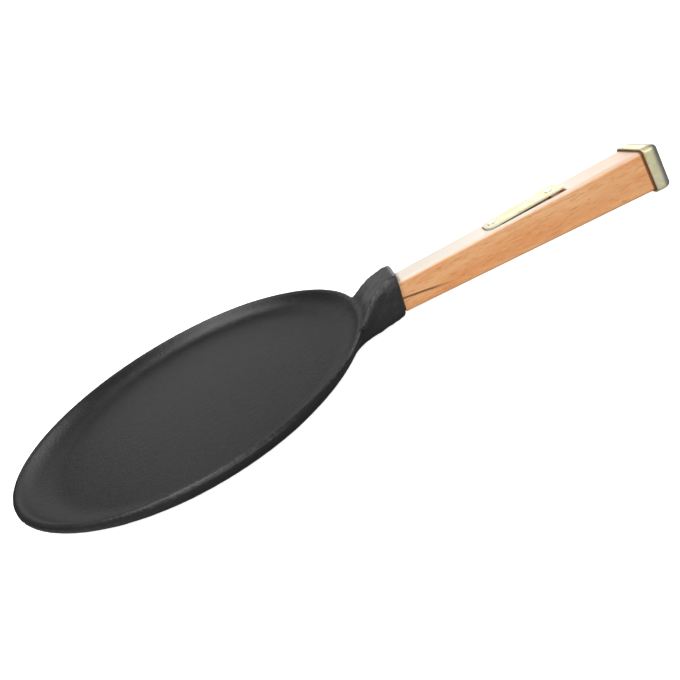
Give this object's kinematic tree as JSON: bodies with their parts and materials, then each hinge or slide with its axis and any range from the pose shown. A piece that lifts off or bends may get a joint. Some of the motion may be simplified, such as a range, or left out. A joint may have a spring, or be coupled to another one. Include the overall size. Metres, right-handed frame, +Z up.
{
  "type": "pancake pan",
  "caption": "Low round cast-iron griddle pan with a square socket cast on its wall and a straight tapered wooden handle that a thumb latch releases.",
  "frame": {"origin": "centre of the flat base, on the hob", "axes": "+X towards the handle, +Z up, Y across"},
  "size_m": [0.428, 0.2408, 0.0471],
  "materials": {
    "cast_iron": "seasoned, satin black with a fine cast grain",
    "beech": "oiled, fine straight grain",
    "zinc_plate": "zinc plated and yellow passivated, satin",
    "bright_steel": "bright steel"
  },
  "bodies": {
    "pan": {"pan_casting": "cast_iron"},
    "handle": {"grip": "beech", "tail_cap": "zinc_plate", "tail_screw": "zinc_plate", "latch_channel": "zinc_plate", "channel_screws": "bright_steel", "pivot_pin": "bright_steel", "spring_stud": "bright_steel", "latch_spring": "bright_steel"},
    "latch": {"latch_strip": "bright_steel", "thumb_plate": "zinc_plate", "plate_rivets": "bright_steel"}
  },
  "joints": [
    {"name": "handle_slide", "type": "slide", "parent": "pan", "child": "handle", "axis": [0.994, 0, 0.1097], "range_m": [0, 0.05], "deforming": ["latch_strip"]},
    {"name": "latch_press", "type": "hinge", "parent": "handle", "child": "latch", "pos_m": [0.21738, 0, 0.02748], "axis": [0, 1, 0], "range_deg": [0, 2.5], "stiffness_Nm_per_rad": 1.5, "springref_deg": -4.58, "deforming": ["latch_spring"]}
  ]
}
